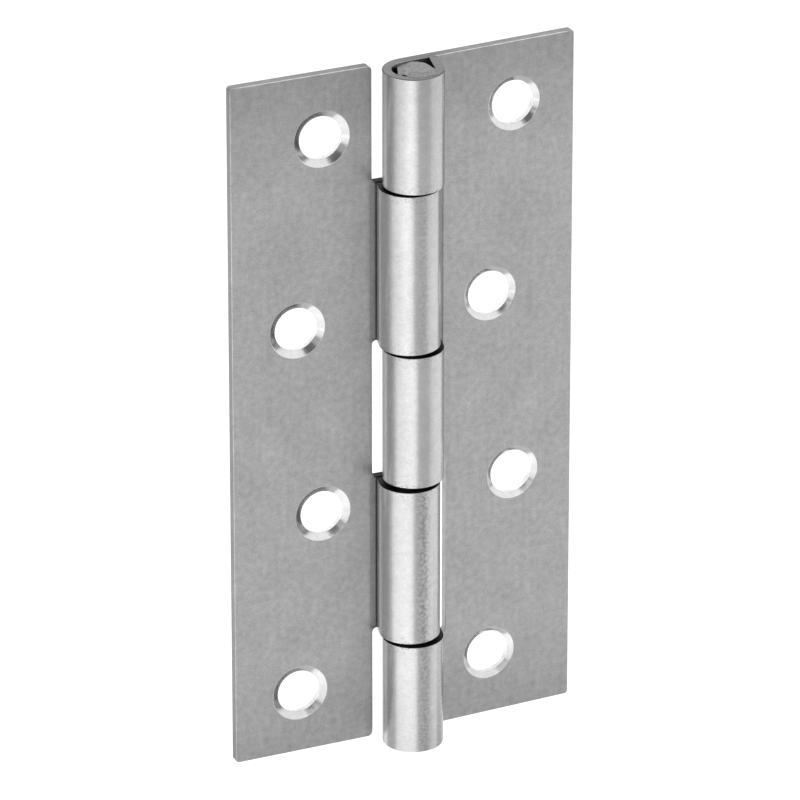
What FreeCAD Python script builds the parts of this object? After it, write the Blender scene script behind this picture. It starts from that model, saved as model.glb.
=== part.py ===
"""Narrow rolled steel butt hinge, shown lying open.

Units are millimetres. The pin runs along Z through the origin, at mid height. The frame leaf
goes to +X and its back is a plane that faces +Y. The door leaf goes to -X. The countersinks
open towards -Y, the side on which the rolled knuckles stand proud.
"""

import FreeCAD, Part
import math
import os

# Sheet
sheet = 1.3
edge_round = 0.12
corner_round = 0.5
notch_round = 0.6

# Pin, and how loosely the rolls hang on it: each leaf's rolls stand to their own side of the pin
pin_diameter = 5.2
pin_contact_gap = 0.05
roll_offset = 0.27
pin_end_recess = 0.25
pin_end_chamfer = 0.3
staked_length = 3.0
staked_wall_gap = 0.1
staked_flat_depth = 0.65
staked_flat_angle = 153.0

# Knuckles from the top down, with the gap below each; the leaves are as high as all of them
top_knuckle = 16.65
gap_below_top = 0.1
upper_door_knuckle = 23.25
gap_below_upper_door = 0.45
middle_knuckle = 19.4
gap_below_middle = 0.5
lower_door_knuckle = 22.95
gap_below_lower_door = 0.6
bottom_knuckle = 16.1

# Screw holes, four to a leaf, in two staggered pairs
hole_diameter = 6.4
countersink_angle = 110.0

# Frame leaf: distances from the pin out, then along it, then how its rolls close
frame_lower_notch_clearance = 3.02
frame_upper_notch_clearance = 2.59
frame_near_hole = 13.6
frame_stagger = 3.6
frame_edge_margin = 8.9
frame_top_hole = 8.75
frame_bottom_hole = 9.05
frame_top_pair = 55.2
frame_bottom_pair = 54.5
frame_hole_land = 0.73
frame_straight_from = -15.0
frame_seam = 0.06

# Door leaf: the same, with its small lift on the pin and its lean out of the flat
door_notch_clearance = 0.55
door_near_hole = 11.8
door_stagger = 3.65
door_edge_margin = 9.65
door_top_hole = 9.45
door_bottom_hole = 8.75
door_top_pair = 55.1
door_bottom_pair = 54.8
door_hole_land = 0.62
door_straight_from = 15.0
door_seam = 0.2
door_lift = 0.15
door_lean_back = 2.6

# Worked out from the sizes above
pin_radius = pin_diameter / 2
bore_radius = pin_radius + roll_offset + pin_contact_gap
knuckle_radius = bore_radius + sheet
door_knuckles = upper_door_knuckle + lower_door_knuckle
gaps = gap_below_top + gap_below_upper_door + gap_below_middle + gap_below_lower_door
leaf_height = top_knuckle + middle_knuckle + bottom_knuckle + door_knuckles + gaps
half_height = leaf_height / 2
top_knuckle_low = half_height - top_knuckle
upper_door_high = top_knuckle_low - gap_below_top
upper_door_low = upper_door_high - upper_door_knuckle
middle_high = upper_door_low - gap_below_upper_door
middle_low = middle_high - middle_knuckle
lower_door_high = middle_low - gap_below_middle
lower_door_low = lower_door_high - lower_door_knuckle
bottom_knuckle_high = lower_door_low - gap_below_lower_door

ORIGIN = FreeCAD.Vector(0, 0, 0)
ALONG_X = FreeCAD.Vector(1, 0, 0)
ALONG_Y = FreeCAD.Vector(0, 1, 0)
ALONG_Z = FreeCAD.Vector(0, 0, 1)
OVERSHOOT = 1.0
NEAR = 0.001


def leaf_plate(reach, low, high, notches):
    """Makes the flat of a leaf, going to +X from the roll axis at X = 0.

    Each notch (z_low, z_high, notch_edge) leaves room for a knuckle of the other leaf, from the
    roll axis out to the notch edge. The blank's corners and the inner corners of its notches
    are round.
    """
    plate = Part.makeBox(reach, sheet, high - low, FreeCAD.Vector(0, bore_radius, low))
    for z_low, z_high, notch_edge in notches:
        foot = FreeCAD.Vector(-OVERSHOOT, bore_radius - OVERSHOOT, z_low)
        plate = plate.cut(Part.makeBox(notch_edge + OVERSHOOT, sheet + 2 * OVERSHOOT, z_high - z_low, foot))

    corners = []
    roots = []
    for edge in plate.Edges:
        middle = edge.CenterOfMass
        if abs(middle.y - (bore_radius + knuckle_radius) / 2) > NEAR or middle.x < NEAR:
            continue
        if min(abs(middle.z - low), abs(middle.z - high)) < NEAR:
            corners.append(edge)
        elif any(abs(middle.x - notch_edge) < NEAR for _, _, notch_edge in notches):
            roots.append(edge)
    root_points = [edge.CenterOfMass for edge in roots]
    plate = plate.makeFillet(corner_round, corners)
    roots = [e for e in plate.Edges if any(e.CenterOfMass.distanceToPoint(p) < NEAR for p in root_points)]
    return plate.makeFillet(notch_round, roots)


def rolled_knuckle(low, high, straight_from, seam):
    """Makes one roll about the Z axis, for a leaf that goes to +X.

    The sheet comes off the leaf at the back (X = 0, Y = knuckle_radius), turns round the far
    side and the front, and runs straight from the angle straight_from, measured from +X. Its
    end stops one seam short of the leaf's front face.
    """
    start = math.pi / 2
    turn = math.radians(straight_from)
    stop = 2 * math.pi + turn
    halfway = (start + stop) / 2
    end_y = bore_radius - seam

    def on_circle(radius, angle):
        return FreeCAD.Vector(radius * math.cos(angle), radius * math.sin(angle), low)

    def straight_end(radius):
        run = (end_y - radius * math.sin(turn)) / math.cos(turn)
        return FreeCAD.Vector(radius * math.cos(turn) - run * math.sin(turn), end_y, low)

    def arc(radius, first, last):
        points = [on_circle(radius, angle) for angle in (first, halfway, last)]
        return Part.Arc(*points).toShape()

    section = Part.Wire([
        arc(knuckle_radius, start, stop),
        Part.makeLine(on_circle(knuckle_radius, stop), straight_end(knuckle_radius)),
        Part.makeLine(straight_end(knuckle_radius), straight_end(bore_radius)),
        Part.makeLine(straight_end(bore_radius), on_circle(bore_radius, stop)),
        arc(bore_radius, stop, start),
        Part.makeLine(on_circle(bore_radius, start), on_circle(knuckle_radius, start)),
    ])
    return Part.Face(section).extrude(ALONG_Z * (high - low))


def soften_edges(leaf, levels):
    """Rounds the sheared edges of a leaf: its outline, front and back, and the ends of its rolls."""
    sheared = []
    for edge in leaf.Edges:
        points = [v.Point for v in edge.Vertexes]
        points.append(edge.valueAt((edge.FirstParameter + edge.LastParameter) / 2))
        xs, ys, zs = ([p[axis] for p in points] for axis in range(3))
        through_sheet = max(ys) - min(ys) > sheet - NEAR and max(xs) - min(xs) < NEAR
        if through_sheet:
            continue
        on_level = max(zs) - min(zs) < NEAR and min(abs(zs[0] - level) for level in levels) < NEAR
        on_face = any(max(abs(y - face) for y in ys) < NEAR for face in (bore_radius, knuckle_radius))
        if on_level or (on_face and max(xs) > NEAR):
            sheared.append(edge)
    return leaf.makeFillet(edge_round, sheared)


def screw_hole(x, z, land):
    """Makes the cutter of one hole: a clear hole, and a cone to the front that leaves a land."""
    slope = math.tan(math.radians(countersink_angle / 2))
    depth = sheet - land
    clear_radius = hole_diameter / 2
    front = FreeCAD.Vector(x, bore_radius - OVERSHOOT, z)
    drill = Part.makeCylinder(clear_radius, sheet + 2 * OVERSHOOT, front, ALONG_Y)
    mouth_radius = clear_radius + (depth + OVERSHOOT) * slope
    cone = Part.makeCone(mouth_radius, clear_radius, depth + OVERSHOOT, front, ALONG_Y)
    return drill.fuse(cone)


def pressed_leaf(reach, notch_clearances, lift, knuckles, holes, land, straight_from, seam):
    """Makes a whole leaf, going to +X with the pin on the Z axis, as one folded sheet.

    It is modelled about the axis of its rolls, which stands roll_offset to the leaf's side of
    the pin, and then moved there. The knuckles and the notches between them go from the bottom
    up, and each notch edge clears the other leaf's rolls, on the far side of the pin, by its
    own clearance.
    """
    low = lift - half_height
    high = lift + half_height
    levels = [low] + [z for knuckle in knuckles for z in knuckle] + [high]
    spaces = [(a, b) for a, b in zip(levels[::2], levels[1::2]) if b - a > NEAR]
    other_roll = knuckle_radius - 2 * roll_offset
    notches = [(a, b, other_roll + clearance) for (a, b), clearance in zip(spaces, notch_clearances)]
    leaf = leaf_plate(reach - roll_offset, low, high, notches)
    for z_low, z_high in knuckles:
        leaf = leaf.fuse(rolled_knuckle(z_low, z_high, straight_from, seam))
    leaf = soften_edges(leaf.removeSplitter(), levels)
    for x, z in holes:
        leaf = leaf.cut(screw_hole(x - roll_offset, z, land))
    return leaf.translated(FreeCAD.Vector(roll_offset, 0, 0))


def frame_leaf():
    """The leaf that is screwed to the frame, with the top, middle and bottom knuckles."""
    knuckles = [
        (-half_height, bottom_knuckle_high),
        (middle_low, middle_high),
        (top_knuckle_low, half_height),
    ]
    notch_clearances = [frame_lower_notch_clearance, frame_upper_notch_clearance]
    far_hole = frame_near_hole + frame_stagger
    top_hole = half_height - frame_top_hole
    bottom_hole = frame_bottom_hole - half_height
    holes = [
        (far_hole, top_hole),
        (frame_near_hole, bottom_hole + frame_bottom_pair),
        (far_hole, top_hole - frame_top_pair),
        (frame_near_hole, bottom_hole),
    ]
    return pressed_leaf(
        far_hole + frame_edge_margin, notch_clearances, 0.0, knuckles, holes,
        frame_hole_land, frame_straight_from, frame_seam,
    )


def door_leaf():
    """The leaf that is screwed to the door, with the two knuckles between the frame leaf's."""
    knuckles = [
        (lower_door_low, lower_door_high),
        (upper_door_low, upper_door_high),
    ]
    notch_clearances = [door_notch_clearance] * 3
    far_hole = door_near_hole + door_stagger
    top_hole = door_lift + half_height - door_top_hole
    bottom_hole = door_lift + door_bottom_hole - half_height
    holes = [
        (door_near_hole, top_hole),
        (far_hole, bottom_hole + door_bottom_pair),
        (door_near_hole, top_hole - door_top_pair),
        (far_hole, bottom_hole),
    ]
    leaf = pressed_leaf(
        far_hole + door_edge_margin, notch_clearances, door_lift, knuckles, holes,
        door_hole_land, door_straight_from, door_seam,
    )
    leaf = leaf.mirror(ORIGIN, ALONG_X)
    leaf.rotate(ORIGIN, ALONG_Z, -door_lean_back)
    return leaf


def chamfer_end(pin, z):
    """Breaks the edge all round the flat end of the pin at the height z."""
    rim = []
    for edge in pin.Edges:
        points = [edge.CenterOfMass] + [v.Point for v in edge.Vertexes]
        if all(abs(point.z - z) < NEAR for point in points):
            rim.append(edge)
    return pin.makeChamfer(pin_end_chamfer, rim)


def hinge_pin():
    """The plain wire pin.

    Its top end is staked: pushed over until it almost meets the leaf's side of the bore, with a
    flat left by the tool on the other side.
    """
    low = pin_end_recess - half_height
    high = half_height - pin_end_recess
    push = roll_offset + bore_radius - pin_radius - staked_wall_gap
    staked_low = high - staked_length

    pin = Part.makeCylinder(pin_radius, high - low, FreeCAD.Vector(0, 0, low))
    pushed = Part.makeCylinder(pin_radius, staked_length, FreeCAD.Vector(push, 0, staked_low))
    between = Part.makeBox(push, pin_diameter, staked_length, FreeCAD.Vector(0, -pin_radius, staked_low))
    pin = pin.fuse([pushed, between]).removeSplitter()

    flat_at = pin_radius - staked_flat_depth
    flat = Part.makeBox(pin_diameter, 2 * pin_diameter, staked_length + OVERSHOOT)
    flat.translate(FreeCAD.Vector(flat_at, -pin_diameter, staked_low))
    flat.rotate(ORIGIN, ALONG_Z, staked_flat_angle)
    pin = pin.cut(flat)
    return chamfer_end(chamfer_end(pin, low), high)


nodes = {
    "frame_leaf": frame_leaf(),
    "door_leaf": door_leaf(),
    "hinge_pin": hinge_pin(),
}

os.makedirs("parts", exist_ok=True)
for name, shape in nodes.items():
    shape.exportStep("parts/" + name + ".step")
    print(name, "solids", len(shape.Solids), "valid", shape.isValid(), "volume", round(shape.Volume, 2))
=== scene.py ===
import math

import bmesh
import bpy
import numpy as np
from mathutils import Matrix, Vector
from mathutils.geometry import delaunay_2d_cdt


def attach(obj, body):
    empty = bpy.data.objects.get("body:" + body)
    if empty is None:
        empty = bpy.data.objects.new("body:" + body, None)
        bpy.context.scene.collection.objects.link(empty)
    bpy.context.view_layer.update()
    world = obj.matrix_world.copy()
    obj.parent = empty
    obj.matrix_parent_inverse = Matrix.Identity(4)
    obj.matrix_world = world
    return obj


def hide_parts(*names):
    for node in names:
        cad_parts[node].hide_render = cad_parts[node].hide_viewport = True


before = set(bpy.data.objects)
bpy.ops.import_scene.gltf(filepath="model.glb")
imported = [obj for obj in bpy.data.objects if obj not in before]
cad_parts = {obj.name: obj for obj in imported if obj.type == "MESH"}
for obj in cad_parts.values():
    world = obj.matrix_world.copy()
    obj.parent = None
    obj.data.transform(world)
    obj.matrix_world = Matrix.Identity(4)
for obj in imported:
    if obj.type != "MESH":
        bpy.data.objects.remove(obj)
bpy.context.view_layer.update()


# Frame leaf: the right-hand leaf, one blank of cold-rolled mild steel. Its three tongues are
# rolled into the top, middle and bottom knuckles, and its four holes are punched and then
# countersunk. Lengths are in millimetres until the mesh is made.

MM = 0.001
sheet = 1.3
bore_radius = 2.92
mean_radius = bore_radius + sheet / 2
roll_offset = 0.27
arris = 0.12
outer_corner = 0.5
inner_corner = 0.75
notch_corner = 0.6
tongue_corner = 0.3
relief_neck = 4.6
band_end = 0.4
fold_step = 3.5
flat_step = 1.3
roll_rows = 1.1
hole_sides = 72

top_knuckle = (33.35, 50.0)
middle_knuckle = (-9.85, 9.55)
bottom_knuckle = (-50.0, -33.9)

# Reach, notch edges and holes are measured from the pin's axis, and the painted highlight
# stripe's line along the sheet. Straight_from is the angle in degrees at which the roll turns
# straight, the seam is the gap it leaves to the leaf, and the stains are how dark each knuckle's
# band is.
frame_leaf_shape = {
    "reach": 26.1, "low": -50.0, "high": 50.0,
    "notches": [(middle_knuckle[1], top_knuckle[0], 6.28), (bottom_knuckle[1], middle_knuckle[0], 6.84)],
    "knuckles": [top_knuckle, middle_knuckle, bottom_knuckle],
    "holes": [(17.02, 40.95), (13.52, 13.6), (17.12, -13.95), (13.6, -40.9)],
    "hole_radius": 3.13, "head_radius": 3.91, "cone_depth": 0.46,
    "straight_from": -15.0, "seam": 0.06, "relief": 2.3,
    "painted_highlight_line": -5.6, "stains": [0.0, 0.1, 0.6],
}


def roll_lengths(shape):
    """Length of sheet in the round of the roll, and in the straight run after it.

    The run goes along the tangent from where the round ends up to the leaf's inner face, one
    seam short of it.
    """
    turn = math.radians(shape["straight_from"])
    run = (bore_radius - shape["seam"] - mean_radius * math.sin(turn)) / math.cos(turn)
    return mean_radius * (1.5 * math.pi + turn), run


def fold(shape, s, h):
    """Place in plan of the sheet, s along it from the pin outwards and h deep from its inner face.

    From the outer edge to s = 0 the sheet is flat. Then it turns round the roll's axis on the
    radius bore + h, one radian for each mean radius of s, and at last it runs straight on.
    """
    turn = math.radians(shape["straight_from"])
    wrapped, mean_run = roll_lengths(shape)
    angle = math.pi / 2 + np.clip(-s / mean_radius, 0, wrapped / mean_radius)
    radius = bore_radius + h
    run = (bore_radius - shape["seam"] - radius * math.sin(turn)) / math.cos(turn)
    along = np.clip(-s - wrapped, 0, None) / mean_run * run
    x = np.maximum(s, 0) + radius * np.cos(angle) - along * math.sin(turn)
    y = radius * np.sin(angle) + along * math.cos(turn)
    return x, y


def crease_of(shape):
    """Where the leaf's tongues begin, measured along the sheet."""
    return min(edge for _, _, edge in shape["notches"]) - roll_offset


def blank_corners(shape, sheet_end):
    """Corners of the flat blank, anticlockwise, as (s, z, radius).

    The lower end of a notch may reach below the tongue's edge in a short relief at the root.
    """
    reach, neck = shape["reach"] - roll_offset, relief_neck - roll_offset
    ends = (shape["low"], shape["high"])
    corners = [(reach, shape["low"], outer_corner), (reach, shape["high"], outer_corner)]
    edge_at = {z: edge - roll_offset for z_low, z_high, edge in shape["notches"] for z in (z_low, z_high)}
    for z in sorted({z for knuckle in shape["knuckles"] for z in knuckle} | set(ends), reverse=True):
        on_knuckle = any(z in knuckle for knuckle in shape["knuckles"])
        tip = [(sheet_end, z, tongue_corner)] if on_knuckle else []
        root = [(edge_at[z], z, inner_corner if z in ends else notch_corner)] if z in edge_at else []
        above = any(z == z_low for z_low, _, _ in shape["notches"])
        if above and shape["relief"]:
            bottom = z - shape["relief"]
            root = [(edge_at[z], bottom, notch_corner)]
            root += [(neck, bottom, tongue_corner), (neck, z, tongue_corner)]
        corners += root + tip if above else tip + root
    return corners


def blank_loop(corners, rows, inset):
    """The blank's edge line moved inwards by inset, with as many points whatever the inset.

    A corner is a quarter circle about a fixed centre, of its radius less the inset where the
    blank is convex and plus it where a notch makes it concave. Between corners the points stand
    on the rows.
    """
    count = len(corners)
    places = np.array([c[:2] for c in corners])
    ways = np.roll(places, -1, axis=0) - places
    ways /= np.abs(ways).sum(axis=1, keepdims=True)
    inward = np.stack([-ways[:, 1], ways[:, 0]], axis=1)
    sweep = np.linspace(0, math.pi / 2, 7)[:, None]
    loop = []
    for i in range(count):
        before, after = inward[i - 1], inward[i]
        convex = 1 if before @ ways[i] > 0 else -1
        radius = corners[i][2]
        centre = places[i] + convex * radius * (before + after)
        bend = np.cos(sweep) * before + np.sin(sweep) * after
        loop.append(centre - convex * (radius - convex * inset) * bend)

        along = 0 if ways[i][0] else 1
        start, stop = places[i], places[(i + 1) % count]
        room = max(radius, corners[(i + 1) % count][2]) + 0.1
        lowest, highest = sorted((start[along], stop[along]))
        line = rows[along]
        line = line[(line > lowest + room) & (line < highest - room)]
        if ways[i][along] < 0:
            line = line[::-1]
        run = np.tile(start + inset * after, (len(line), 1))
        run[:, along] = line
        loop.append(run)
    return np.vstack(loop)


def face_rows(shape, wrapped, sheet_end):
    """Rows of points for the faces of the blank: places along the sheet, and heights.

    Along it they stand every few degrees on the roll and at even steps on the flat, with two
    close together where the painted shade band on the tongues ends.
    """
    ends_at, clear = crease_of(shape) + band_end, 0.3
    run_line = np.linspace(-wrapped, sheet_end, 6)
    fold_line = -np.arange(0, wrapped, math.radians(fold_step) * mean_radius)
    flat_line = np.arange(flat_step / 2, shape["reach"], flat_step)
    flat_line = np.append(flat_line[np.abs(flat_line - ends_at) > clear], [ends_at - 0.06, ends_at + 0.04])
    heights = np.arange(-49.7, 50.0, roll_rows)
    return [np.unique(np.concatenate([run_line, fold_line, flat_line])), heights]


def edge_profile():
    """Section of a sheared edge: how far in and how deep each of its rows lies.

    It has a quarter circle at either arris, and is a little hollow where the shear broke through.
    """
    bend = np.linspace(0, math.pi / 2, 5)
    round_in = arris * (1 - np.sin(bend))
    round_deep = arris * (1 - np.cos(bend))
    beside = [arris + 0.06]
    hollow_in, hollow_deep = [0.0, 0.015, 0.02], [0.45, 0.6, 0.95]
    insets = np.concatenate([beside, round_in, hollow_in, round_in[::-1], beside])
    depths = np.concatenate([[0.0], round_deep, hollow_deep, sheet - round_deep[::-1], [sheet]])
    return insets, depths


def hole_profile(shape):
    """Section of a countersunk hole from front to back: radius, depth, how far cone, how far land."""
    hole_radius, head, cone = shape["hole_radius"], shape["head_radius"], shape["cone_depth"]
    soft, beside = 0.03, 0.16
    slope = (head - hole_radius) / cone
    return np.array([
        (head + beside, 0.0, 0.0, 0.0),
        (head + 0.04, 0.0, 0.3, 0.0),
        (head - 0.25 * soft, 0.6 * soft, 1.0, 0.0),
        (head - 1.5 * soft * slope, 1.5 * soft, 1.0, 0.0),
        (hole_radius + soft * slope, cone - soft, 1.0, 0.0),
        (hole_radius, cone + soft, 0.0, 1.0),
        (hole_radius, sheet - soft, 0.0, 1.0),
        (hole_radius + soft, sheet, 0.0, 0.3),
        (hole_radius + beside, sheet, 0.0, 0.0),
    ]).T


def hole_rings(shape, radius):
    """A circle in the blank round each hole's centre."""
    angle = np.linspace(0, 2 * math.pi, hole_sides, endpoint=False)
    circle = np.stack([radius * np.cos(angle), radius * np.sin(angle)], axis=1)
    return [circle + (x - roll_offset, z) for x, z in shape["holes"]]


def closed_strip(rows, sides):
    """Quads between neighbouring rows of points, where each row is a closed loop."""
    i, j = np.meshgrid(np.arange(rows - 1), np.arange(sides), indexing="ij")
    k = (j + 1) % sides
    quads = [i * sides + j, i * sides + k, (i + 1) * sides + k, (i + 1) * sides + j]
    return np.stack(quads, axis=-1).reshape(-1, 4)


def filled_face(shape, loop, hole_size, rows, sheet_end):
    """Triangles that fill the blank between its edge loop and the rings of its holes.

    The points in between are a grid of the rows, wherever they lie well inside.
    """
    s, z = (g.ravel() for g in np.meshgrid(rows[0], rows[1], indexing="ij"))
    clear = 0.3
    keep = (s > sheet_end + clear) & (s < shape["reach"] - roll_offset - clear)
    keep &= (z > shape["low"] + clear) & (z < shape["high"] - clear)
    for z_low, z_high, edge in shape["notches"]:
        keep &= (s > edge - roll_offset + clear) | (z < z_low - clear) | (z > z_high + clear)
        in_relief = (s > relief_neck - roll_offset - clear) & (s < edge - roll_offset + clear)
        keep &= ~(in_relief & (z > z_low - shape["relief"] - clear) & (z < z_high))
    for x, hole_z in shape["holes"]:
        keep &= np.hypot(s - x + roll_offset, z - hole_z) > hole_size + clear
    rings = hole_rings(shape, hole_size)
    points = np.vstack([loop] + rings + [np.stack([s[keep], z[keep]], axis=1)])

    edges = []
    first = 0
    for ring in [loop] + rings:
        index = first + np.arange(len(ring))
        edges += list(zip(index.tolist(), np.roll(index, -1).tolist()))
        first += len(ring)
    found = delaunay_2d_cdt([Vector(p) for p in points], edges, [], 1, 1e-7)
    places = np.array([v[:] for v in found[0]])
    faces = np.array(found[2])
    middle = places[faces].mean(axis=1)
    solid = np.ones(len(faces), bool)
    for x, hole_z in shape["holes"]:
        solid &= np.hypot(middle[:, 0] - x + roll_offset, middle[:, 1] - hole_z) > hole_size
    return places, faces[solid]


def blank(shape):
    """The flat blank's whole surface: points (s, z, h), how each was worked, and polygons.

    A sheared edge runs round it, a countersunk wall goes through each hole, and two filled
    faces close it. The work is four rows from 0 to 1: sheared, front arris, countersunk, punched.
    """
    wrapped, run = roll_lengths(shape)
    sheet_end = -wrapped - run
    rows = face_rows(shape, wrapped, sheet_end)
    corners = blank_corners(shape, sheet_end)
    points, work, faces = [], [], []

    def add(flat, depth, worked, polygons):
        first = sum(len(p) for p in points)
        points.append(np.column_stack([flat, np.broadcast_to(depth, len(flat))]))
        work.append(np.broadcast_to(worked, (len(flat), 4)))
        faces.extend((polygons + first).tolist())

    insets, depths = edge_profile()
    loops = [blank_loop(corners, rows, inset) for inset in insets]
    around = len(loops[0])
    # Weights across the front arris rows for the painted highlight on the arrises.
    arris_highlight_weights = (0.0, 0.4, 0.8, 0.8, 0.3)
    worked = np.zeros((len(insets), 4))
    worked[:, 0] = np.clip(1 - insets / arris, 0, 1)
    worked[:len(arris_highlight_weights), 1] = arris_highlight_weights
    worked = np.repeat(worked, around, axis=0)
    add(np.vstack(loops), np.repeat(depths, around), worked, closed_strip(len(loops), around))

    radii, deep, on_cone, on_land = hole_profile(shape)
    worked = np.zeros((len(radii), 4))
    worked[:, 2:] = np.column_stack([on_cone, on_land])
    worked = np.repeat(worked, hole_sides, axis=0)
    for wall in zip(*(hole_rings(shape, radius) for radius in radii)):
        add(np.vstack(wall), np.repeat(deep, hole_sides), worked, closed_strip(len(radii), hole_sides))

    for loop, hole_size, depth in ((loops[0], radii[0], 0.0), (loops[-1], radii[-1], sheet)):
        flat, triangles = filled_face(shape, loop, hole_size, rows, sheet_end)
        add(flat, depth, np.zeros(4), triangles)
    return np.vstack(points).T, np.vstack(work).T, faces


def leaf_oil_dirt_and_painted_light(shape, side, points, sheared, front_arris):
    """Where the leaf carries oil and painted light, and where it is dirty, each from 0 to 1.

    Oil and painted light: black oil with painted shade on sheared edges on and by the rolls, such
    as the gaps between knuckles, painted shade on the frame leaf's notch faces, a painted shade
    line along the top knuckle's rim, a darker sheared side edge and a top edge darker towards the
    roll, a painted shade band on the door leaf's tongues, painted highlights on the top arrises and
    the door leaf's notch arris, and a painted highlight stripe along the roll. Dirt: specks near the
    knuckles' ends, and oil stains along the front of a knuckle.
    """
    s, z, h = points
    crease = crease_of(shape)
    edge_band, end_band, knuckle_slack = 0.15, 0.3, 0.05
    near_roll_reach, darker_edge_reach, darker_edge_fade = 4.0, 10.0, 6.0
    round_start, rim_start, rim_end = -2.0, -4.0, -14.5
    stain_line, stain_width, painted_highlight_width = -11.0, 0.85, 0.4
    speck_reach, speck_limit = 0.6, 48.0
    beside_notch = np.abs(s - crease) < edge_band
    at_top = z > shape["high"] - end_band
    from_ends = np.minimum(np.abs(z - shape["low"]), np.abs(z - shape["high"]))
    specks, stains = np.zeros(len(s)), np.zeros(len(s))
    on_tongue = np.zeros(len(s), bool)
    for (low, high), amount in zip(shape["knuckles"], shape["stains"]):
        inside = (z > low - knuckle_slack) & (z < high + knuckle_slack)
        on_tongue |= inside
        from_gap = np.minimum(np.abs(z - low), np.abs(z - high))
        specks += np.exp(-from_gap / speck_reach) * (s < round_start)
        stains += amount * np.exp(-((s - stain_line) / stain_width) ** 2) * inside
    specks *= np.abs(z) < speck_limit

    # Sheared edges on and by the rolls, such as the knuckle ends in the gaps, the tongues' tops and the
    # roll's end, are made near-black: black oil with painted shade.
    near_rolls = (s < near_roll_reach) & (from_ends > end_band)
    at_side = s > shape["reach"] - roll_offset - edge_band
    # The sheared outer side edge is made darker, and the top edge darker towards the roll.
    darker_edges = 0.4 * at_side + 0.35 * at_top * np.clip((darker_edge_reach - s) / darker_edge_fade, 0, 1)
    # A painted shade line along the top knuckle's outer rim.
    on_rim = (z > shape["high"] - 0.1) & (h > sheet - 1.2 * arris)
    rim = on_rim & (s < rim_start) & (s > rim_end)
    oil_and_painted_shade = np.clip(1.6 * sheared, 0, 1) * near_rolls
    # The frame leaf's notch faces beside the tongues get painted shade.
    for more in (0.5 * sheared * beside_notch * (side > 0), 0.6 * rim, darker_edges * sheared):
        oil_and_painted_shade = np.maximum(oil_and_painted_shade, more)
    # A band of painted shade on the door leaf's tongues, beside the roll.
    tongue_painted_shade = (s < crease + band_end) & (s > -1.0) & (h < arris) & (side < 0) & on_tongue
    # Painted highlights on the top front arris and on the door leaf's notch arris.
    top_edge = at_top * np.clip((s - 3) / 3, 0, 1) * (s < shape["reach"] - 1)
    painted_arris_highlight = front_arris * np.maximum(top_edge, (side < 0) & beside_notch)
    # A painted highlight stripe along the roll.
    painted_roll_highlight = np.exp(-((s - shape["painted_highlight_line"]) / painted_highlight_width) ** 2)
    return (oil_and_painted_shade, tongue_painted_shade, painted_arris_highlight, painted_roll_highlight), (specks, stains)


def leaf_mesh(name, shape, side, lean):
    """A whole leaf as one closed surface: its blank folded, and then turned about the pin.

    The side is -1 for a leaf that goes to -X, and the lean is the angle that it turns by.
    """
    points, (sheared, front_arris, countersunk, punched), faces = blank(shape)
    s, z, h = points
    x, y = fold(shape, s, h)
    x = side * (x + roll_offset)
    turned_x = x * math.cos(lean) - y * math.sin(lean)
    turned_y = x * math.sin(lean) + y * math.cos(lean)
    body = bpy.data.meshes.new(name)
    body.from_pydata((np.column_stack([turned_x, turned_y, z]) * MM).tolist(), [], faces)

    on_roll = np.clip(0.5 - s / 3, 0, 1)
    oil_and_painted_light, (specks, stains) = leaf_oil_dirt_and_painted_light(shape, side, points, sheared, front_arris)
    for attribute, kind, field, values in (
        ("work", "FLOAT_COLOR", "color", (on_roll, sheared, countersunk, punched)),
        ("oil_and_painted_light", "FLOAT_COLOR", "color", oil_and_painted_light),
        ("specks", "FLOAT", "value", [specks]),
        ("stains", "FLOAT", "value", [stains]),
        ("sheet", "FLOAT_VECTOR", "vector", points * MM),
    ):
        values = np.column_stack(values).astype(np.float32).ravel()
        body.attributes.new(attribute, kind, "POINT").data.foreach_set(field, values)

    tidy = bmesh.new()
    tidy.from_mesh(body)
    bmesh.ops.remove_doubles(tidy, verts=tidy.verts, dist=0.002 * MM)
    bmesh.ops.recalc_face_normals(tidy, faces=tidy.faces)
    tidy.to_mesh(body)
    tidy.free()
    shade_by_area(body)
    piece = bpy.data.objects.new(name, body)
    bpy.context.scene.collection.objects.link(piece)
    return piece


def shade_by_area(body):
    """Smooth shading in which the broad faces decide, so that they stay flat up to their edges.

    A point's normal is the sum of area times normal over its faces.
    """
    sides = np.zeros(len(body.polygons), np.int32)
    area = np.zeros(len(body.polygons), np.float32)
    normal = np.zeros(len(body.polygons) * 3, np.float32)
    point = np.zeros(len(body.loops), np.int32)
    body.polygons.foreach_get("loop_total", sides)
    body.polygons.foreach_get("area", area)
    body.polygons.foreach_get("normal", normal)
    body.loops.foreach_get("vertex_index", point)
    weighted = np.repeat(normal.reshape(-1, 3) * area[:, None], sides, axis=0)
    total = np.column_stack([np.bincount(point, weighted[:, i], len(body.vertices)) for i in range(3)])
    total /= np.maximum(np.linalg.norm(total, axis=1, keepdims=True), 1e-20)
    body.shade_smooth()
    body.normals_split_custom_set_from_vertices(total.tolist())


def linear(hex_colour):
    """A shader colour from an sRGB hex value."""
    parts = [int(hex_colour[i:i + 2], 16) / 255 for i in (1, 3, 5)]
    return [c / 12.92 if c <= 0.04045 else ((c + 0.055) / 1.055) ** 2.4 for c in parts] + [1.0]


def node(tree, kind, settings=None, inputs=None):
    """Adds a node. Its settings are set by name, and each input gets a link or a value."""
    made = tree.nodes.new(kind)
    for key, value in (settings or {}).items():
        setattr(made, key, value)
    for key, value in (inputs or {}).items():
        if isinstance(value, bpy.types.NodeSocket):
            tree.links.new(value, made.inputs[key])
        else:
            made.inputs[key].default_value = value
    return made


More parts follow.
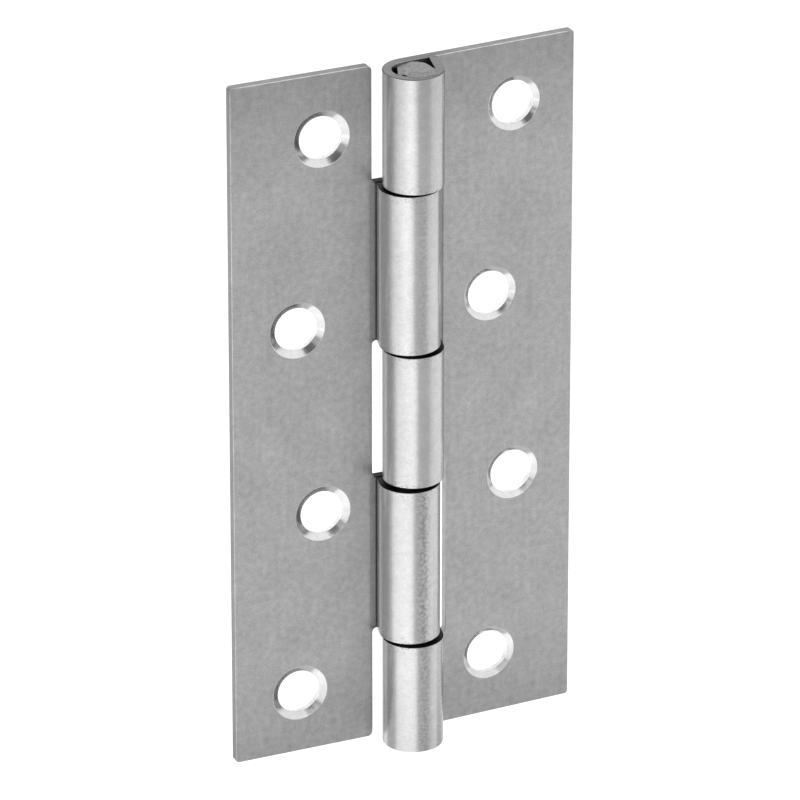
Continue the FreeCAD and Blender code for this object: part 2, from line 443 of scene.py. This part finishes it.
def steel_finishes_and_painted_light(tree, work, oil_and_painted_light):
    """Colour and roughness of the steel, one finish laid over the other by the leaf's masks.

    The bare sheet, the die-polished rolls, a painted highlight stripe on the rolls, the reamed
    cone, the punched land painted near-white as a highlight, sheared edges, a painted shade band on
    the tongues, painted highlights on arrises, and black oil with painted shade.
    """
    done = node(tree, "ShaderNodeSeparateColor", None, {"Color": work.outputs["Color"]}).outputs
    oil_and_painted_light_parts = node(tree, "ShaderNodeSeparateColor", None, {"Color": oil_and_painted_light.outputs["Color"]}).outputs
    colour, roughness = linear("#929292"), 0.4
    for mask, finish, finish_roughness in (
        (done["Red"], "#999999", 0.27),
        # A painted highlight stripe along the roll.
        (oil_and_painted_light.outputs["Alpha"], "#D0D0D0", 0.3),
        (done["Blue"], "#989898", 0.16),
        # The punched land is painted near-white, a painted highlight over its smooth finish.
        (work.outputs["Alpha"], "#F4F4F4", 0.1),
        (done["Green"], "#ACACAC", 0.45),
        # Painted shade band on the door leaf's tongues.
        (oil_and_painted_light_parts["Green"], "#828282", 0.4),
        # Painted highlights on arrises.
        (oil_and_painted_light_parts["Blue"], "#C8C8C8", 0.3),
        # Black oil with painted shade.
        (oil_and_painted_light_parts["Red"], "#141414", 0.5),
    ):
        mixed = node(tree, "ShaderNodeMix", {"data_type": "RGBA"}, {0: mask, 6: colour, 7: linear(finish)})
        rough = node(tree, "ShaderNodeMix", None, {0: mask, 2: roughness, 3: finish_roughness})
        colour, roughness = mixed.outputs[2], rough.outputs[0]
    return colour, roughness, done


def blotched_level(tree, place, done):
    """How light the steel is: blotches of 7, 0.9 and 0.2 mm and grain along the strip.

    Painted shade darkens it towards the leaf's ends, and it is more even on rolls and in countersinks.
    """
    level = 1.0
    for size_mm, across, weight in ((0.9, 1.0, 0.45), (7.0, 1.0, 0.25), (0.2, 1.0, 0.6), (0.9, 0.12, 0.2)):
        along_strip = node(tree, "ShaderNodeVectorMath", {"operation": "MULTIPLY"}, {
            0: place, 1: (1.0, across, 1.0),
        })
        grain = node(tree, "ShaderNodeTexNoise", None, {
            "Vector": along_strip.outputs[0], "Scale": 1 / (size_mm * MM), "Detail": 2.0,
        })
        centred = node(tree, "ShaderNodeMath", {"operation": "SUBTRACT"}, {0: grain.outputs["Fac"], 1: 0.5})
        level = node(tree, "ShaderNodeMath", {"operation": "MULTIPLY_ADD"}, {
            0: centred.outputs[0], 1: weight, 2: level,
        }).outputs[0]
    height_on_leaf = node(tree, "ShaderNodeSeparateXYZ", None, {0: place}).outputs["Y"]
    from_middle = node(tree, "ShaderNodeMath", {"operation": "ABSOLUTE"}, {0: height_on_leaf})
    # Painted shade: the steel is darkened towards the leaf's ends.
    darker_from, darker_to, darkest = 34 * MM, 52 * MM, 0.8
    painted_shade_near_ends = node(tree, "ShaderNodeMapRange", {"interpolation_type": "SMOOTHSTEP"}, {
        "Value": from_middle.outputs[0],
        "From Min": darker_from, "From Max": darker_to, "To Min": 1.0, "To Max": darkest,
    })
    level = node(tree, "ShaderNodeMath", {"operation": "MULTIPLY"}, {
        0: level, 1: painted_shade_near_ends.outputs[0],
    }).outputs[0]
    polished = node(tree, "ShaderNodeMath", {"operation": "MAXIMUM"}, {0: done["Red"], 1: done["Blue"]})
    polished_evenness = 0.5
    evenness = node(tree, "ShaderNodeMath", {"operation": "MULTIPLY"}, {
        0: polished.outputs[0], 1: polished_evenness,
    })
    return node(tree, "ShaderNodeMix", None, {0: evenness.outputs[0], 2: level, 3: 1.0}).outputs[0]


def dirtied_level(tree, place, level):
    """The level with its dirt: specks of 0.3 mm near the gaps, and blots of 0.5 mm in the stains."""
    for attribute, size_mm, detail, starts, full, dirt_level in (
        ("specks", 0.28, 0.0, 0.6, 0.72, 0.55), ("stains", 0.45, 3.0, 0.35, 0.65, 0.5),
    ):
        where = node(tree, "ShaderNodeAttribute", {"attribute_name": attribute})
        spots = node(tree, "ShaderNodeTexNoise", None, {
            "Vector": place, "Scale": 1 / (size_mm * MM), "Detail": detail,
        })
        spotted = node(tree, "ShaderNodeMapRange", {"interpolation_type": "SMOOTHSTEP"}, {
            "Value": spots.outputs["Fac"], "From Min": starts, "From Max": full,
        })
        dirt = node(tree, "ShaderNodeMath", {"operation": "MULTIPLY"}, {
            0: spotted.outputs[0], 1: where.outputs["Fac"],
        })
        level = node(tree, "ShaderNodeMix", None, {0: dirt.outputs[0], 2: level, 3: dirt_level}).outputs[0]
    return level


def uneven_height(tree, place, done):
    """Fine pits of 0.3 mm everywhere, deeper on the rolls, and waves of 2.5 mm on the rolls alone."""
    pit_size, wave_size = 0.3 * MM, 2.5 * MM
    pit_share, more_on_rolls, wave_share = 0.12, 0.1, 0.3
    pits = node(tree, "ShaderNodeTexNoise", None, {"Vector": place, "Scale": 1 / pit_size, "Detail": 1.0})
    wave_place = node(tree, "ShaderNodeVectorMath", {"operation": "MULTIPLY"}, {0: place, 1: (1.0, 0.4, 1.0)})
    waves = node(tree, "ShaderNodeTexNoise", None, {
        "Vector": wave_place.outputs[0], "Scale": 1 / wave_size, "Detail": 1.0,
    })
    on_rolls = node(tree, "ShaderNodeMath", {"operation": "MULTIPLY"}, {
        0: waves.outputs["Fac"], 1: done["Red"],
    })
    wave_height = node(tree, "ShaderNodeMath", {"operation": "MULTIPLY"}, {
        0: on_rolls.outputs[0], 1: wave_share,
    })
    pit_height = node(tree, "ShaderNodeMath", {"operation": "MULTIPLY_ADD"}, {
        0: done["Red"], 1: more_on_rolls, 2: pit_share,
    })
    return node(tree, "ShaderNodeMath", {"operation": "MULTIPLY_ADD"}, {
        0: pits.outputs["Fac"], 1: pit_height.outputs[0], 2: wave_height.outputs[0],
    }).outputs[0]


def rolled_mild_steel():
    """Cold-rolled mild steel strip, pressed, rolled up and tumbled in oil, left bare.

    It gives a dull grey with fine blotches and grain that run along the strip, with painted shade
    towards the leaf's ends. The rolls are polished by the die and carry a painted highlight
    stripe, the countersinks are bright, the punched lands are painted near-white as a highlight,
    the sheared edges are dull with painted highlights on their arrises, the tongues carry a band of
    painted shade, and black oil with painted shade sits on the edges in the gaps between the
    knuckles. Specks of dirt gather near the gaps, and stained bands run down the front of the lower
    knuckles.
    """
    steel = bpy.data.materials.new("bare_cold_rolled_steel")
    steel.use_nodes = True
    tree = steel.node_tree
    shader = tree.nodes["Principled BSDF"]
    work = node(tree, "ShaderNodeAttribute", {"attribute_name": "work"})
    oil_and_painted_light = node(tree, "ShaderNodeAttribute", {"attribute_name": "oil_and_painted_light"})
    place = node(tree, "ShaderNodeAttribute", {"attribute_name": "sheet"}).outputs["Vector"]
    colour, roughness, done = steel_finishes_and_painted_light(tree, work, oil_and_painted_light)
    level = dirtied_level(tree, place, blotched_level(tree, place, done))
    toned = node(tree, "ShaderNodeVectorMath", {"operation": "SCALE"}, {0: colour, "Scale": level})
    bump = node(tree, "ShaderNodeBump", None, {
        "Height": uneven_height(tree, place, done), "Distance": 0.03 * MM, "Strength": 1.0,
    })
    tree.links.new(toned.outputs[0], shader.inputs["Base Color"])
    tree.links.new(roughness, shader.inputs["Roughness"])
    tree.links.new(bump.outputs["Normal"], shader.inputs["Normal"])
    shader.inputs["Metallic"].default_value = 1.0
    return steel


leaf_steel = rolled_mild_steel()
frame_leaf = leaf_mesh("frame_leaf_sheet", frame_leaf_shape, 1, 0.0)
frame_leaf.data.materials.append(leaf_steel)
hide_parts("frame_leaf")
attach(frame_leaf, "frame_side")


# Door leaf: the left-hand leaf, a blank of the same sheet with the two knuckles in between.
# It hangs a little to its own side of the pin, and leans back out of the flat.

upper_knuckle = (10.0, 33.25)
lower_knuckle = (-33.3, -10.35)
door_low, door_high = -49.85, 50.15
door_notch = 4.5
door_lean = math.radians(-2.6)
door_leaf_shape = {
    "reach": 25.1, "low": door_low, "high": door_high,
    "notches": [
        (upper_knuckle[1], door_high, door_notch),
        (lower_knuckle[1], upper_knuckle[0], door_notch),
        (door_low, lower_knuckle[0], door_notch),
    ],
    "knuckles": [upper_knuckle, lower_knuckle],
    "holes": [(11.8, 40.75), (15.52, 13.5), (11.87, -14.4), (15.45, -41.0)],
    "hole_radius": 3.08, "head_radius": 4.05, "cone_depth": 0.56,
    "straight_from": 15.0, "seam": 0.2, "relief": 0.0,
    "painted_highlight_line": -17.3, "stains": [0.35, 0.8],
}
door_leaf = leaf_mesh("door_leaf_sheet", door_leaf_shape, -1, door_lean)
door_leaf.data.materials.append(leaf_steel)
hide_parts("door_leaf")
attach(door_leaf, "door_side")


# Hinge pin: plain drawn steel wire through all five knuckles. Its top end is staked: a punch
# pushed it over against the roll, sheared a flat down its left side, and spread crumbs of
# metal over the front of the bore's rim.

pin_radius = 2.6
pin_half = 49.75
pin_chamfer = 0.3
stake_depth = 3.0
rim_level = 50.012
head_level = 49.93
head_x = 0.45
flat_direction = math.radians(155.8)
flat_distance = 1.87
pin_sides = 180


def crumble(x, y, size):
    """Uneven metal, mostly between -1 and 1: a third of the sum of six sine waves.

    Each wave has a direction turned by 2.4 radians from the last, and is a little shorter.
    """
    waves = []
    for i in range(6):
        across = x * math.cos(2.4 * i) + y * math.sin(2.4 * i)
        waves.append(np.sin(across * 2 * math.pi * (1 + 0.23 * i) / size + 1.7 * i))
    return sum(waves) / 3


def smooth(value):
    """A smooth step that goes from 0 to 1 as the value does."""
    t = np.clip(value, 0, 1)
    return t * t * (3 - 2 * t)


def head_top(x, y):
    """Height of the staked end's top face.

    It is level, but drops off to the back left where the wire was sheared. In front of a
    slanting line it is beaten down and crumbly, and rises again over the rim.
    """
    drop, beaten_depth, rise = 0.26, 0.2, 0.3
    sheared_off = np.clip((x - 0.2) * -0.75 + (y - 1.4) * 0.66, 0, 1.4)
    beaten = -(y + 1.27 + 0.4 * x) / 1.08
    z = head_level - drop * sheared_off - beaten_depth * smooth(beaten / 0.35)
    z += rise * smooth((beaten - 0.5) / 0.6)
    z += 0.02 * crumble(x, y, 1.3) + 0.05 * smooth(beaten / 0.3) * crumble(x, y, 0.7)
    for bump_x, bump_y, height, width in (
        (-1.3, 0.1, 0.2, 0.35), (0.5, -2.1, 0.12, 0.3), (1.6, -2.7, 0.1, 0.35),
    ):
        z += height * np.exp(-((x - bump_x) ** 2 + (y - bump_y) ** 2) / width**2)
    return z


def towards(angle, centre, width):
    """1 in one direction in degrees, falling off on both sides as a bell over a width in radians."""
    apart = np.angle(np.exp(1j * (angle - math.radians(centre))))
    return np.exp(-((apart / width) ** 2))


def staked_outline(angle):
    """Radius of the staked end about its own centre, and how far its lip hangs over the rim.

    It is the wire's circle, swollen to the back left until the bore stops it, and cut by the
    flat. The lip runs out at the front.
    """
    swollen = 2.62 + 0.32 * towards(angle, 112, 0.7) + 0.22 * towards(angle, -75, 0.7)
    swollen -= 0.25 * towards(angle, -2, 0.5)
    offset = head_x - roll_offset
    bore_limit = -offset * np.cos(angle) + np.sqrt((bore_radius - 0.01) ** 2 - (offset * np.sin(angle)) ** 2)
    to_flat = flat_distance - head_x * math.cos(flat_direction)
    flat_limit = to_flat / np.maximum(np.cos(angle - flat_direction), 0.05)
    ragged = 1 + 0.35 * crumble(3 * np.cos(angle), 3 * np.sin(angle), 1.1)
    lip = 0.62 * smooth(1.5 * towards(angle, -88, 0.8)) * ragged
    return np.minimum(np.minimum(swollen, bore_limit), flat_limit), lip


def pin_mesh():
    """The pin as one closed grid of rows, each a loop round the wire.

    From the bottom: pole, flat end, chamfer, straight wire, the staked outline up to its brink,
    and the lip out over the rim. Inside the outline the rows shrink to a pole again.
    """
    angle = np.linspace(0, 2 * math.pi, pin_sides, endpoint=False)
    ray_x, ray_y = np.cos(angle), np.sin(angle)
    outline, lip = staked_outline(angle)

    def loop(radius, z, centre_x=0.0):
        return np.column_stack([centre_x + radius * ray_x, radius * ray_y, np.broadcast_to(z, len(angle))])

    end_radius = pin_radius - pin_chamfer
    brink_depth, lip_rise, least_step = 0.12, 0.1, 0.005
    rows = [loop(r, -pin_half) for r in (0.02, 1.0, 1.8, end_radius - 0.05, end_radius)]
    rows += [loop(pin_radius, z) for z in (pin_chamfer - pin_half, pin_chamfer + 0.1 - pin_half)]
    rows += [loop(pin_radius, z) for z in np.linspace(-45.0, pin_half - stake_depth, 12)]
    rows += [loop(outline, z, head_x) for z in (pin_half - stake_depth + 0.4, 48.5)]
    brink = head_top(head_x + outline * ray_x, outline * ray_y) - brink_depth
    brink = np.minimum(brink, rim_level - 0.002)
    over = smooth(lip / lip_rise)
    rows.append(loop(outline, brink - 0.1, head_x))
    rows.append(loop(outline, brink * (1 - over) + rim_level * over, head_x))
    whole = outline + lip
    rows.append(loop(whole, brink * (1 - over) + (rim_level + 0.002) * over, head_x))
    for share, sunk in ((1.0, 0.05), (0.985, 0.015), (0.96, 0.0)):
        top = head_top(head_x + share * whole * ray_x, share * whole * ray_y) - sunk
        rows.append(loop(share * whole, np.maximum(top, rows[-1][:, 2] + least_step), head_x))
    for share in np.concatenate([np.linspace(0.93, 0.08, 22), [0.004]]):
        top = head_top(head_x + share * whole * ray_x, share * whole * ray_y)
        rows.append(loop(share * whole, top, head_x))

    faces = closed_strip(len(rows), pin_sides).tolist()
    last = (len(rows) - 1) * pin_sides
    faces += [list(range(pin_sides))[::-1], list(range(last, last + pin_sides))]
    body = bpy.data.meshes.new("hinge_pin_wire")
    body.from_pydata((np.vstack(rows) * MM).tolist(), [], faces)
    tidy = bmesh.new()
    tidy.from_mesh(body)
    bmesh.ops.recalc_face_normals(tidy, faces=tidy.faces)
    tidy.to_mesh(body)
    tidy.free()
    body.shade_smooth()
    piece = bpy.data.objects.new("hinge_pin_wire", body)
    bpy.context.scene.collection.objects.link(piece)
    return piece


def drawn_steel_wire():
    """Drawn mild steel wire: smooth and grey along its length, torn and dull where it was beaten."""
    wire = bpy.data.materials.new("drawn_steel_wire")
    wire.use_nodes = True
    tree = wire.node_tree
    shader = tree.nodes["Principled BSDF"]
    place = node(tree, "ShaderNodeTexCoord").outputs["Object"]
    tear_size = 0.5 * MM
    torn = node(tree, "ShaderNodeTexNoise", None, {"Vector": place, "Scale": 1 / tear_size, "Detail": 3.0})
    tone = node(tree, "ShaderNodeValToRGB", None, {"Fac": torn.outputs["Fac"]})
    tone.color_ramp.elements[0].position = 0.3
    tone.color_ramp.elements[0].color = linear("#808080")
    tone.color_ramp.elements[1].position = 0.7
    tone.color_ramp.elements[1].color = linear("#A2A2A2")
    tree.links.new(tone.outputs["Color"], shader.inputs["Base Color"])
    bump = node(tree, "ShaderNodeBump", None, {
        "Height": torn.outputs["Fac"], "Distance": 0.03 * MM, "Strength": 1.0,
    })
    tree.links.new(bump.outputs["Normal"], shader.inputs["Normal"])
    shader.inputs["Metallic"].default_value = 1.0
    shader.inputs["Roughness"].default_value = 0.38
    return wire


hinge_pin = pin_mesh()
hinge_pin.data.materials.append(drawn_steel_wire())
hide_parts("hinge_pin")
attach(hinge_pin, "frame_side")


# Studio, in metres: the hinge is held up in a white room, as it is when it is screwed on. Soft
# boxes stand where the polished rolls and countersinks mirror them, two flags keep those from
# going flat, and the floor is white paper far below.

floor_level = -0.36
floor_size = 6.0
background_lift = 0.2


def camera_white(tree, surface, lift):
    """Adds a little light of its own to a surface, for the rays that show the background."""
    path = node(tree, "ShaderNodeLightPath")
    level = 0.0
    for ray in ("Is Camera Ray", "Is Glossy Ray", "Is Transmission Ray"):
        seen = node(tree, "ShaderNodeMath", {"operation": "MAXIMUM"}, {0: path.outputs[ray], 1: level})
        level = seen.outputs[0]
    dimmed = node(tree, "ShaderNodeMath", {"operation": "MULTIPLY"}, {0: level, 1: lift})
    glow = node(tree, "ShaderNodeEmission", None, {"Color": linear("#FFFFFF"), "Strength": dimmed.outputs[0]})
    both = node(tree, "ShaderNodeAddShader", None, {0: surface, 1: glow.outputs[0]})
    tree.links.new(both.outputs[0], tree.nodes["Material Output"].inputs["Surface"])


def matt(name, colour):
    """A dull surface of one colour, such as paper or cloth, and its shader."""
    surface = bpy.data.materials.new(name)
    surface.use_nodes = True
    shader = surface.node_tree.nodes["Principled BSDF"]
    shader.inputs["Base Color"].default_value = linear(colour)
    shader.inputs["Roughness"].default_value = 0.9
    return surface, shader


def card(name, place, width, height, surface):
    """A flat sheet that isn't part of the object, about a place and in its plane."""
    corners = [
        place @ Vector((x * width / 2, y * height / 2, 0.0)) for x, y in ((-1, -1), (1, -1), (1, 1), (-1, 1))
    ]
    sheet_mesh = bpy.data.meshes.new(name)
    sheet_mesh.from_pydata([tuple(corner) for corner in corners], [], [(0, 1, 2, 3)])
    made = bpy.data.objects.new(name, sheet_mesh)
    made.data.materials.append(surface)
    bpy.context.scene.collection.objects.link(made)
    return made


paper, paper_shader = matt("white_paper", "#F4F4F4")
camera_white(paper.node_tree, paper_shader.outputs[0], background_lift)
card("floor", Matrix.Translation((0.0, 0.0, floor_level)), floor_size, floor_size, paper)

world = bpy.data.worlds.new("white_room")
world.use_nodes = True
world.node_tree.nodes["Background"].inputs["Color"].default_value = linear("#FFFFFF")
world.node_tree.nodes["Background"].inputs["Strength"].default_value = 1.0
bpy.context.scene.world = world


def facing(azimuth, elevation, distance, roll=0.0):
    """Where something stands that faces the hinge from a direction, rolled, all in degrees."""
    a, e = math.radians(azimuth), math.radians(elevation)
    away = Vector((math.cos(a) * math.cos(e), math.sin(a) * math.cos(e), math.sin(e)))
    across = Vector((-math.sin(a), math.cos(a), 0.0))
    turned = Matrix((across, away.cross(across), away)).transposed().to_4x4()
    return Matrix.Translation(away * distance) @ turned @ Matrix.Rotation(math.radians(roll), 4, "Z")


def soft_box(name, place, width, height, level):
    """An even rectangular lamp, whose surface is as bright as level times white."""
    lamp = bpy.data.lights.new(name, "AREA")
    lamp.shape = "RECTANGLE"
    lamp.size = width
    lamp.size_y = height
    lamp.energy = level * math.pi * width * height
    made = bpy.data.objects.new(name, lamp)
    made.matrix_world = place
    made.visible_camera = False
    bpy.context.scene.collection.objects.link(made)


low_box_edge = math.radians(-101.0)
low_box_level = -0.3
low_box_length = 0.99
low_box_width = 0.63
low_box_start = 0.07
low_wing_width = 0.2
upwards = Vector((0.0, 0.0, 1.0))
outwards = Vector((math.cos(low_box_edge), math.sin(low_box_edge), 0.0))
sideways = outwards.cross(upwards)
middle = outwards * (low_box_start + low_box_length / 2) + sideways * low_box_width / 2
middle.z = low_box_level
turned = Matrix((outwards, -sideways, -upwards)).transposed().to_4x4()
soft_box("low_box", Matrix.Translation(middle) @ turned, low_box_length, low_box_width, 1.5)
middle += sideways * (low_box_width + low_wing_width) / 2
soft_box("low_wing", Matrix.Translation(middle) @ turned, low_box_length, low_wing_width, 0.8)
for name, place, width, height, level in (
    ("side_box", facing(-13.0, -27.0, 0.45), 0.58, 0.2, 0.65),
    ("high_box", facing(-44.0, 19.0, 0.7, -30.0), 1.2, 0.5, 1.5),
    ("front_box", facing(-124.0, -7.0, 0.6), 0.25, 0.2, 1.5),
    ("gap_box", facing(-100.0, 16.0, 0.6, 36.0), 0.36, 0.14, 0.9),
    ("flank_box", facing(-152.0, 3.0, 0.6), 0.4, 0.3, 1.8),
    ("left_box", facing(178.0, 8.0, 0.6), 0.35, 0.3, 3.0),
):
    soft_box(name, place, width, height, level)

for name, colour, place, width, height in (
    ("far_flag", "#A8A8A8", facing(6.0, -46.0, 0.4), 0.22, 0.2),
    ("near_flag", "#707070", facing(-105.5, 27.0, 0.5, 36.0), 0.22, 0.1),
):
    flag = card(name, place, width, height, matt(name + "_cloth", colour)[0])
    flag.visible_camera = False
    flag.visible_shadow = False
    flag.visible_diffuse = False


# Camera: as the photograph was taken, from the left, above and far off with a long lens. Its
# place and angles were solved from the hinge's own edges.

camera_at = Vector((-0.4165, -0.8214, 0.4169))
azimuth = math.radians(-26.902)
elevation = math.radians(24.351)
pan = math.radians(-0.100)
tilt = math.radians(0.079)
lens_length = 334.6
sensor_width = 36.0
seen_to = 20.0
camera_data = bpy.data.cameras.new("camera")
camera_data.lens = lens_length
camera_data.sensor_width = sensor_width
camera_data.clip_end = seen_to
camera = bpy.data.objects.new("camera", camera_data)
level_part = math.cos(elevation)
ahead = Vector((-math.sin(azimuth) * level_part, math.cos(azimuth) * level_part, -math.sin(elevation)))
right = ahead.cross(upwards).normalized()
look = (ahead + right * math.tan(pan) + right.cross(ahead) * math.tan(tilt)).normalized()
right = look.cross(upwards).normalized()
turned = Matrix((right, right.cross(look), -look)).transposed().to_4x4()
camera.matrix_world = Matrix.Translation(camera_at) @ turned
bpy.context.scene.collection.objects.link(camera)
bpy.context.scene.camera = camera
bpy.context.scene.view_settings.view_transform = "Standard"
